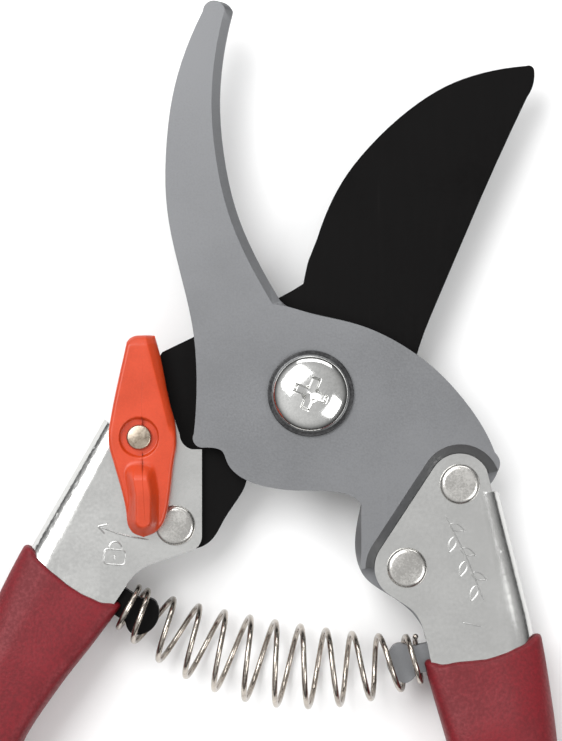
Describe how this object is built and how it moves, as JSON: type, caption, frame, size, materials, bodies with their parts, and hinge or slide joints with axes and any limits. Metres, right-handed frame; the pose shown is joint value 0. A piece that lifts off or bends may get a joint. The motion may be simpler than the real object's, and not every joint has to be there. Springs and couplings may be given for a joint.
{
  "type": "pruning shears",
  "caption": "Bypass pruning shears, open: hooked counter-blade, black slicing blade, folded steel handles with dipped grips, barrel return spring and swinging lock lever.",
  "frame": {"origin": "on the axis of the main pivot, at the rear face of the pivot nut, which is the plane the open shears rest on", "axes": "+Z along the main pivot towards the screw head, which is the front; +Y towards the blade tips; +X towards the counter-blade's handle"},
  "size_m": [0.124, 0.1924, 0.0188],
  "materials": {
    "satin_steel": "matte satin stainless sheet, fine grain",
    "blade_coating": "black low-friction coating on steel, slight sheen",
    "plated_sheet": "satin nickel plating on pressed sheet, brighter on the bends",
    "red_vinyl": "dipped vinyl, satin, fine mottled grain",
    "rivet_steel": "plated rivet heads, satin",
    "orange_plastic": "moulded plastic, semi-gloss",
    "polished_screw": "bright plated, polished dome",
    "dark_washer": "dark oiled steel",
    "hardware_steel": "zinc plated",
    "spring_steel": "bright spring wire"
  },
  "bodies": {
    "counter_blade_half": {"counter_blade": "satin_steel", "right_handle": "plated_sheet", "right_grip": "red_vinyl", "right_upper_rivet": "rivet_steel", "right_lower_rivet": "rivet_steel", "pivot_screw": "polished_screw", "front_washer": "dark_washer", "pivot_bush": "hardware_steel", "rear_washer": "hardware_steel", "lock_washer": "hardware_steel", "pivot_nut": "hardware_steel", "return_spring": "spring_steel"},
    "cutting_blade_half": {"cutting_blade": "blade_coating", "left_handle": "plated_sheet", "left_grip": "red_vinyl", "left_blade_rivet": "rivet_steel", "lever_rivet": "rivet_steel", "lever_wave_washer": "hardware_steel"},
    "lever": {"lock_lever": "orange_plastic"}
  },
  "joints": [
    {"name": "main_pivot", "type": "hinge", "parent": "counter_blade_half", "child": "cutting_blade_half", "pos_m": [0, 0, 0.0082], "axis": [0, 0, 1], "range_deg": [0, 45], "stiffness_Nm_per_rad": 0.8, "springref_deg": -20.05, "deforming": ["return_spring"]},
    {"name": "lock_swing", "type": "hinge", "parent": "cutting_blade_half", "child": "lever", "pos_m": [-0.0306, -0.0078, 0.012], "axis": [0, 0, 1], "range_deg": [-38, 0]}
  ]
}
